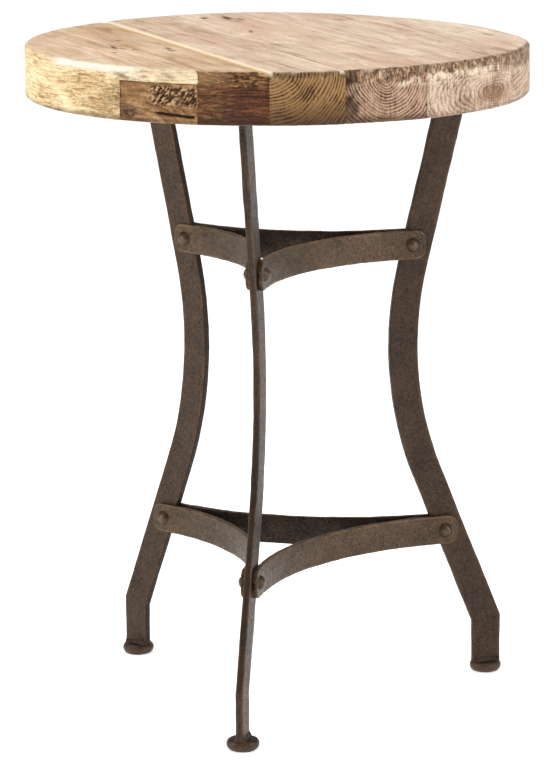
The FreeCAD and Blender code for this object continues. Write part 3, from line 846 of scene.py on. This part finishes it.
def patch_cutter():
    """A box round the patch block, with a glue gap, to cut its place in board 1."""
    gap = 0.15
    lo = (PATCH_ACROSS[0] - 5.0, PATCH_START - gap, UNDERSIDE - 5.0)
    hi = (PATCH_ACROSS[1] + gap, TOP_RADIUS + 10.0, PATCH_TOP + gap)
    x, y, z = zip(lo, hi)
    corners = np.array([(a, b, c) for c in z for b in y for a in x])
    faces = [(0, 2, 3, 1), (4, 5, 7, 6), (0, 1, 5, 4), (1, 3, 7, 5), (3, 2, 6, 7), (2, 0, 4, 6)]
    mesh = bpy.data.meshes.new("patch_cutter")
    mesh.from_pydata((to_world(corners) * MM).tolist(), [], faces)
    cutter = new_object("patch_cutter", mesh)
    bpy.context.view_layer.update()
    return cutter


def make_patch():
    """The block let into the front end of board 1: rough sawn, with a split."""
    low, high = PATCH_ACROSS[0] + SEAM_GAP / 2, PATCH_ACROSS[1] - 0.1
    end_radius = TOP_RADIUS - PATCH_INSET
    columns = np.linspace(low, high, 110)
    t = np.linspace(0, 1, 26)[:, None] ** 0.6
    s = (PATCH_START + 0.1) * (1 - t) + np.sqrt(end_radius ** 2 - columns ** 2) * t
    n = np.broadcast_to(columns, s.shape)
    rise = rounding(end_radius - np.hypot(n, s), BOTTOM_ROUND, BOTTOM_ROUND)
    points, faces = grid_block(n, s, UNDERSIDE - 0.6 + rise, np.full(s.shape, PATCH_TOP - 0.15), 56)
    n, s, z = points.T
    radius = np.hypot(n, s)
    at_end = step(3.0, 0.0, end_radius - radius)
    push = 0.3 * noise(points, (9, 9, 7), 31) + 0.15 * noise(points, (2.4, 2.4, 2.4), 32)
    # a patch of rough, leaning saw teeth
    torn = band(144.5, 175, 1.5, n + 1.5 * noise(points, (3, 3, 3), 38)) * band(579, 595, 1.5, z)
    leaning = np.column_stack([n + 0.5 * (z - 587), s, z])
    rough = noise(leaning, (0.95, 30.0, 2.6), 33) * 0.9 + noise(leaning, (1.5, 30.0, 1.3), 34) * 0.7
    push -= torn * (1.3 - 1.7 * np.clip(rough, -0.7, 0.8))
    # a long split below it, and a knot at the left
    slit_middle = 570.4 + 0.09 * (n - 158) + 0.4 * noise(points, (9, 9, 40), 35)
    slit = band(146.5, 171.5, 1.2, n) * step(1.6, 0.9, np.abs(z - slit_middle))
    push -= 3.2 * slit
    knot = np.exp(-(((n - 189) / 6.0) ** 2 + ((z - 571) / 6.5) ** 2) ** 1.5)
    push += knot * (0.35 * noise(points, (2.2, 2.2, 1.8), 36) - 0.3)
    push -= 0.3 * step(1.2, 0.0, high - n) + 0.3 * step(1.0, 0.0, n - low)
    # painted shade in the deepest parts of the saw teeth
    dark = np.clip(torn * np.clip(0.12 - 1.5 * rough, 0, 1) * 1.5, 0, 0.9)
    raise_to(dark, slit)
    raise_to(dark, knot * np.clip(0.45 + 0.9 * noise(points, (2.2, 2.2, 1.8), 37), 0, 1) * 0.85)
    # the glue line, darker in places, and along the top a painted shadow under board 1's overhanging edge
    glue_line_and_shadow = np.clip(0.1 + 0.8 * noise(points, (7, 7, 7), 39), 0, 0.5)
    raise_to(dark, 0.5 * glue_line_and_shadow * step(1.4, 0.2, high - n) * at_end)
    raise_to(dark, glue_line_and_shadow * step(1.6, 0.3, PATCH_TOP - z) * at_end)
    # painted shade towards the bottom of the patch's end
    raise_to(dark, 0.5 * step(568.5, 564.0, z + 1.2 * noise(points, (9, 9, 50), 40)) * at_end)
    # painted highlights on the raised saw teeth
    light = 0.85 * torn * np.clip(1.8 * rough - 0.2, 0, 1)
    light += 0.3 * band(166, 186, 5, n) * band(566.5, 569, 0.8, z)
    ruddy = np.exp(-(((n - 190) / 8.0) ** 2 + ((z - 571) / 7.5) ** 2) ** 2) * 0.8
    moved = np.column_stack([n + n / radius * push * at_end, s + s / radius * push * at_end, z])
    marks = {"dark": dark, "light": light, "torn": np.maximum(0.35 * torn, ruddy)}
    marks = {key: np.clip(value * at_end, 0, 1) for key, value in marks.items()}
    make_piece("patch_end", to_world(moved), faces, PATCH_WOOD, ["patch_block"], marks)


# ------------------------------------------------------------------ iron work
def plane_line(a, b):
    v = np.array(b, float) - np.array(a, float)
    return v / np.linalg.norm(v)


def outward(direction):
    """The normal of a run of the leg that points away from the axis."""
    return np.array([-direction[1], direction[0]])


UPPER_RUN = plane_line((LEG_TOP_RADIUS, LEG_TOP_HEIGHT), LEG_WAIST)
LOWER_RUN = plane_line(LEG_WAIST, LEG_BEND)
HALF_TURN = math.acos(float(UPPER_RUN @ LOWER_RUN)) / 2.0
WAIST_TANGENT = LEG_WAIST_ARC * math.tan(HALF_TURN)
ARC_START = np.array(LEG_WAIST) - UPPER_RUN * WAIST_TANGENT
ARC_END = np.array(LEG_WAIST) + LOWER_RUN * WAIST_TANGENT
ARC_CENTRE = ARC_START + outward(UPPER_RUN) * LEG_WAIST_ARC


def leg_stations(spacing):
    """Stations down the leg: a place, and the step across for each millimetre outwards."""
    out_upper, out_lower = outward(UPPER_RUN), outward(LOWER_RUN)
    level_cut = out_upper - UPPER_RUN * (out_upper[1] / UPPER_RUN[1])
    mitre = out_lower + outward(np.array([0.0, -1.0]))
    top = (np.array([LEG_TOP_RADIUS, LEG_TOP_HEIGHT]), level_cut)
    bend = (np.array(LEG_BEND), mitre / mitre[0])
    foot = (np.array([LEG_BEND[0], LEG_FOOT_HEIGHT]), np.array([1.0, 0.0]))
    stations = []

    def straight(a, b):
        count = max(2, round(np.linalg.norm(b[0] - a[0]) / spacing))
        for i in range(count):
            t = i / count
            stations.append((a[0] * (1 - t) + b[0] * t, a[1] * (1 - t) + b[1] * t))

    straight(top, (ARC_START, out_upper))
    start, stop = (math.atan2(*(end - ARC_CENTRE)[::-1]) % (2 * math.pi) for end in (ARC_START, ARC_END))
    count = round(abs(stop - start) * LEG_WAIST_ARC / spacing)
    for i in range(count):
        a = start + (stop - start) * i / count
        spoke = np.array([math.cos(a), math.sin(a)])
        stations.append((ARC_CENTRE + spoke * LEG_WAIST_ARC, -spoke))
    straight((ARC_END, out_lower), bend)
    straight(bend, foot)
    stations.append(foot)
    return stations


def rounded_section(width, thickness, corner, step_long, step_short):
    """A loop of points round a bar's section, and how near each point is to a corner, up to 1."""
    a, b = width / 2, thickness / 2
    wide, thick = a - corner, b - corner
    along = np.linspace(-wide, wide, max(2, round(2 * wide / step_long)) + 1)
    up = np.linspace(-thick, thick, max(1, round(2 * thick / step_short)) + 1)
    points, edge = [], []
    sides = ((along, -b, 1, -1), (up, a, 1, 1), (along[::-1], b, -1, 1), (up[::-1], -a, -1, -1))
    for number, (values, fixed, right, top) in enumerate(sides):
        points += [(fixed, v) if number % 2 else (v, fixed) for v in values]
        edge += [0.6] + [0.0] * (len(values) - 2) + [0.6]
        for degrees in (30, 60):
            t = math.radians(90 * number - 90 + degrees)
            points.append((right * wide + corner * math.cos(t), top * thick + corner * math.sin(t)))
            edge.append(1.0)
    return np.array(points), np.array(edge)


def rivet_radius_at(height):
    """Distance from the axis of a rivet through a straight run of the leg."""
    place, run = LEG_BEND, LOWER_RUN
    if height > ARC_START[1]:
        place, run = (LEG_TOP_RADIUS, LEG_TOP_HEIGHT), UPPER_RUN
    return place[0] + run[0] * (height - place[1]) / run[1] - RIVET_INSIDE_LEG_MIDDLE


def hammered(points, faces, amounts, seed):
    """Points pushed in and out along their normals by noise of several sizes."""
    normal = normals_of(points, faces)
    push = np.zeros(len(points))
    for k, (cell, depth) in enumerate(amounts):
        push += depth * noise(points, (cell,) * 3, seed + k)
    return points + normal * push[:, None]


def make_leg(number):
    section, edge = rounded_section(LEG_WIDTH, LEG_THICKNESS, LEG_CORNER, 2.4, 1.6)
    stations = leg_stations(2.6)
    rings = []
    for place, across in stations:
        flat = place + np.outer(section[:, 0], across)
        rings.append(np.column_stack([flat[:, 0], -section[:, 1], flat[:, 1]]))
    points = np.concatenate(rings)
    faces = tube_faces(len(stations), len(section))
    turned = on_legs(points, LEG_ANGLES[number - 1])
    inside = (points[:, 2] > LEG_FOOT_HEIGHT + 1) & (points[:, 2] < LEG_TOP_HEIGHT - 1)
    shaped = hammered(turned, faces, ((26.0, 0.28), (9.0, 0.16), (4.0, 0.07)), 40 + number)
    turned[inside] = shaped[inside]
    wear_and_painted_light = np.tile(edge, len(stations)) * np.clip(0.55 + noise(turned, (12, 12, 12), 50), 0, 1)
    # painted shade on the faces towards the axis, and a painted shadow of the top over the leg's upper end
    wear_and_painted_light[np.tile(section[:, 0] < -LEG_WIDTH / 2 + 0.4, len(stations))] = INNER_FACE_PAINTED_SHADE
    wear_and_painted_light -= 0.45 * step(LEG_TOP_HEIGHT - LEG_TOP_PAINTED_SHADOW, LEG_TOP_HEIGHT, points[:, 2])
    node = "leg_%d" % number
    make_piece("leg_bar_%d" % number, turned, faces, LEG_IRON, [node], {"wear_and_painted_light": wear_and_painted_light})


def make_brace(level, pair):
    node = "%s_brace_%d_%d" % (level, *pair)
    height = sum(reach(node, UP)) / 2
    rivet = rivet_radius_at(height)
    middle = (LEG_THICKNESS + BRACE_THICKNESS) / 2
    half = math.radians(60)
    corner = middle / math.sin(half)
    tangent = rivet - BRACE_STRAIGHT_BEFORE_RIVET - middle / math.tan(half)
    end = rivet + BRACE_END_PAST_RIVET - middle / math.tan(half)
    centre = corner + tangent / math.cos(half)
    radius = tangent * math.tan(half)
    near = [x for x in BRACE_END_STATIONS if x < end - tangent]

    def run(x, side):
        """A station on a straight end: its place, its turn and its distance from the end."""
        out = end - x
        return corner + out * math.cos(half), side * out * math.sin(half), side * 30.0, x

    path = [run(x, -1) for x in near]
    count = round(radius * half / 2.0)
    for i in range(count + 1):
        turn = -30.0 + 60.0 * i / count
        a = math.radians(turn)
        path.append((centre - radius * math.cos(a), radius * math.sin(a), turn, FAR_FROM_END))
    path += [run(x, 1) for x in near[::-1]]
    section, edge = rounded_section(BRACE_HEIGHT, BRACE_THICKNESS, 0.9, 1.7, 1.3)
    rings = []
    for x, y, turn, from_end in path:
        a = math.radians(turn)
        tall = 1 - 2 * rounding(from_end, BRACE_END_ROUND, BRACE_END_ROUND) / BRACE_HEIGHT
        aside = section[:, 1] * (1.0 if from_end > 0.2 else 0.72)
        ring = (x + aside * math.cos(a), y - aside * math.sin(a), height + section[:, 0] * tall)
        rings.append(np.column_stack(ring))
    points = np.concatenate(rings)
    faces = tube_faces(len(path), len(section))
    points = on_legs(points, LEG_ANGLES[pair[0] - 1] + 60.0)
    seed = 60 + 7 * pair[0] + (0 if level == "upper" else 30)
    points = hammered(points, faces, ((14.0, 0.22), (6.5, 0.2), (3.0, 0.1)), seed)
    wear_and_painted_light = np.tile(edge, len(path)) * np.clip(0.55 + noise(points, (9, 9, 9), seed + 5), 0, 1)
    # painted shade on the brace's face towards the axis
    wear_and_painted_light[np.tile(section[:, 1] < -BRACE_THICKNESS / 2 + 0.2, len(path))] = INNER_FACE_PAINTED_SHADE
    name = "brace_%s_%d_%d" % (level, *pair)
    make_piece(name, points, faces, BRACE_IRON, [node], {"wear_and_painted_light": wear_and_painted_light})


def revolve(profile, around):
    """Points and faces of a profile (radius, height) turned about its axis, closed at both ends."""
    points = []
    inner = [p for p in profile if p[0] > 1e-6]
    for radius, height in inner:
        for k in range(around):
            a = 2 * math.pi * k / around
            points.append((radius * math.cos(a), radius * math.sin(a), height))
    faces = ring_quads(len(inner), around)
    for ring, height in ((0, profile[0][1]), (len(inner) - 1, profile[-1][1])):
        points.append((0.0, 0.0, height))
        for k in range(around):
            m = (k + 1) % around
            faces.append((ring * around + k, ring * around + m, len(points) - 1))
    return np.array(points), faces


def make_rivets(level):
    """Rivets of one level: a hammered dome at each end of a shank through brace, leg and brace."""
    node = "%s_rivets" % level
    height = sum(reach(node, UP)) / 2
    grip = LEG_THICKNESS / 2 + BRACE_THICKNESS
    sphere = (RIVET_HEAD_RADIUS ** 2 + RIVET_HEAD_HEIGHT ** 2) / (2 * RIVET_HEAD_HEIGHT)
    dome = []
    for k in range(9):
        r = RIVET_HEAD_RADIUS * math.sin(math.pi / 2 * k / 8)
        h = math.sqrt(sphere ** 2 - r ** 2) - (sphere - RIVET_HEAD_HEIGHT)
        dome.append((r, grip + h))
    dome[-1] = (RIVET_HEAD_RADIUS, grip + 0.25)
    half = dome + [(RIVET_HEAD_RADIUS - 0.1, grip - 0.15), (RIVET_SHANK_RADIUS, grip - 0.15)]
    profile = half + [(r, -h) for r, h in half[::-1]]
    points, faces = revolve(profile, 28)
    out_points, out_faces, marks = [], [], []
    for number, angle in enumerate(LEG_ANGLES):
        shaped = hammered(points, faces, ((5.0, 0.35), (2.4, 0.14)), 90 + 3 * number + len(level))
        out = shaped[:, 0] + rivet_radius_at(height)
        placed = np.column_stack([out, shaped[:, 2], shaped[:, 1] + height])
        base = sum(len(p) for p in out_points)
        out_points.append(on_legs(placed, angle))
        out_faces += [tuple(i + base for i in face) for face in faces]
        # lighter towards the dome's top: rubbed wear, and partly a painted highlight
        marks.append(np.clip((np.abs(points[:, 2]) - grip - 2.4) / 2.5, 0, 1))
    wear_and_painted_light = np.concatenate(marks)
    points = np.concatenate(out_points)
    make_piece("rivets_%s" % level, points, out_faces, RIVET_IRON, [node], {"wear_and_painted_light": wear_and_painted_light})


FOOT_PROFILE = (
    (0.0, 0.0), (6.0, 0.0), (10.2, 0.0), (11.0, 0.25), (12.4, 0.9), (13.8, 2.4), (14.6, 4.0), (14.9, 5.6),
    (14.7, 7.2), (14.2, 8.4), (13.4, 9.4), (12.2, 9.9), (9.5, 10.2), (6.0, 10.4), (0.0, 10.45),
)
# How far the weld on a foot stands out from the leg's bar, and at what height
WELD_PROFILE = ((-0.6, 9.6), (2.6, 9.8), (2.3, 10.7), (1.5, 11.4), (0.75, 12.3), (0.25, 13.4), (-0.6, 13.8))
WELD_REACH = 13.2


def make_foot(number):
    """A turned button, with the weld that runs round the leg's end on it."""
    points, faces = revolve(FOOT_PROFILE, 56)
    points = hammered(points, faces, ((8.0, 0.22), (3.2, 0.1)), 110 + number)
    points[:, 2] = np.maximum(points[:, 2], 0.0)
    points[:, 0] += LEG_BEND[0]
    section = rounded_section(LEG_WIDTH, LEG_THICKNESS, LEG_CORNER, 1.6, 1.3)[0]
    size = np.array([LEG_WIDTH, LEG_THICKNESS])
    rings = []
    for grow, height in WELD_PROFILE:
        ring = section * (size + 2 * grow) / size
        far = np.hypot(ring[:, 0], ring[:, 1])
        ring = ring * np.minimum(1.0, WELD_REACH / far)[:, None]
        rings.append(np.column_stack([LEG_BEND[0] + ring[:, 0], ring[:, 1], np.full(len(ring), height)]))
    weld = np.concatenate(rings)
    weld_faces = tube_faces(len(rings), len(section))
    weld = hammered(weld, weld_faces, ((3.4, 0.35), (1.8, 0.15)), 120 + number)
    faces = faces + [tuple(i + len(points) for i in face) for face in weld_faces]
    rubbed = band(12.5, 15.2, 0.6, np.hypot(points[:, 0] - LEG_BEND[0], points[:, 1])) * 0.6
    marks = {"wear_and_painted_light": np.concatenate([rubbed, np.zeros(len(weld))])}
    points = on_legs(np.concatenate([points, weld]), LEG_ANGLES[number - 1])
    node = "foot_%d" % number
    make_piece("foot_button_%d" % number, points, faces, FOOT_IRON, [node], marks)


# ------------------------------------------------------------------ assembling
cutter = patch_cutter()
for number in range(1, 7):
    make_board(number, cutter if number == 1 else None)
bpy.data.objects.remove(cutter)
make_patch()
for number in (1, 2, 3):
    make_leg(number)
    make_foot(number)
for level in ("upper", "lower"):
    for pair in BRACE_PAIRS:
        make_brace(level, pair)
    make_rivets(level)


def dress(node, material):
    """Gives a CAD node that stays its material."""
    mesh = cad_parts[node].data
    mesh.materials.clear()
    mesh.materials.append(material)


for number in (1, 2, 3):
    dress("mounting_plate_%d" % number, PLATE_IRON)
dress("plate_screws", SCREW_STEEL)
dress("plank_dowels", DOWEL_WOOD)

# ------------------------------------------------------------ floor and studio
FLOOR_HALF = 30.0
corners = [(x * FLOOR_HALF, y * FLOOR_HALF, 0.0) for x, y in ((-1, -1), (1, -1), (1, 1), (-1, 1))]
floor_mesh = bpy.data.meshes.new("floor")
floor_mesh.from_pydata(corners, [], [(0, 1, 2, 3)])
floor = new_object("floor", floor_mesh)
paper = Nodes("floor_paper")
spot = paper.noise(paper.add("ShaderNodeTexCoord").outputs["Object"], (0.8, 0.8, 0.8))
paper.shade({
    "Base Color": paper.ramp(spot, ((0.0, grey(0.88)), (1.0, grey(0.92)))),
    "Roughness": 0.9,
    "Specular IOR Level": 0.1,
    "Emission Color": (1.0, 1.0, 1.0, 1.0),
    "Emission Strength": 0.64,
})
floor_mesh.materials.append(paper.material)


def softbox(name, place, target, size, watts, colour=(1.0, 1.0, 1.0)):
    """A large rectangular light that faces a point."""
    data = bpy.data.lights.new(name, "AREA")
    data.shape = "RECTANGLE"
    data.size, data.size_y = size
    data.energy = watts
    data.color = colour
    light = new_object(name, data)
    light.location = place
    light.rotation_mode = "QUATERNION"
    light.rotation_quaternion = (Vector(target) - Vector(place)).to_track_quat("-Z", "Y")


softbox("light_top", (-0.3, 0.1, 3.0), (0.0, 0.0, 0.6), (2.6, 2.6), 48.0)
softbox("light_left", (-2.3, -1.1, 1.1), (0.0, 0.0, 0.45), (1.2, 1.8), 28.0, (1.0, 0.95, 0.86))
softbox("light_right", (2.4, -0.5, 1.0), (0.0, 0.0, 0.4), (1.2, 1.8), 25.0, (0.95, 0.975, 1.0))

world = bpy.data.worlds.new("studio")
world.use_nodes = True
background = world.node_tree.nodes["Background"].inputs
background["Color"].default_value = (1.0, 1.0, 1.0, 1.0)
background["Strength"].default_value = 0.4
bpy.context.scene.world = world
bpy.context.scene.view_settings.view_transform = "Standard"

# -------------------------------------------------------------------- camera
CAMERA_DISTANCE = 3.598
CAMERA_HEIGHT = 1.0406
CAMERA_TURN = math.radians(12.26)
CAMERA_PITCH = 0.2052
CAMERA_ROLL = -0.008
CAMERA_FOCAL_PIXELS = 3994.0
IMAGE_LONG_SIDE = 768.0
SENSOR = 36.0

camera_data = bpy.data.cameras.new("camera")
camera_data.sensor_width = SENSOR
camera_data.lens = CAMERA_FOCAL_PIXELS / IMAGE_LONG_SIDE * SENSOR
camera_data.clip_end = 200.0
camera = new_object("camera", camera_data)
forward = Vector((
    -math.sin(CAMERA_TURN) * math.cos(CAMERA_PITCH),
    math.cos(CAMERA_TURN) * math.cos(CAMERA_PITCH),
    -math.sin(CAMERA_PITCH),
))
right = Vector((math.cos(CAMERA_TURN), math.sin(CAMERA_TURN), 0.0))
up = right.cross(forward)
right = right * math.cos(CAMERA_ROLL) + up * math.sin(CAMERA_ROLL)
up = right.cross(forward)
camera.matrix_world = Matrix((right, up, -forward)).transposed().to_4x4()
away = Vector((math.sin(CAMERA_TURN), -math.cos(CAMERA_TURN), 0.0))
camera.location = away * CAMERA_DISTANCE + Vector((0.0, 0.0, CAMERA_HEIGHT))
bpy.context.scene.camera = camera
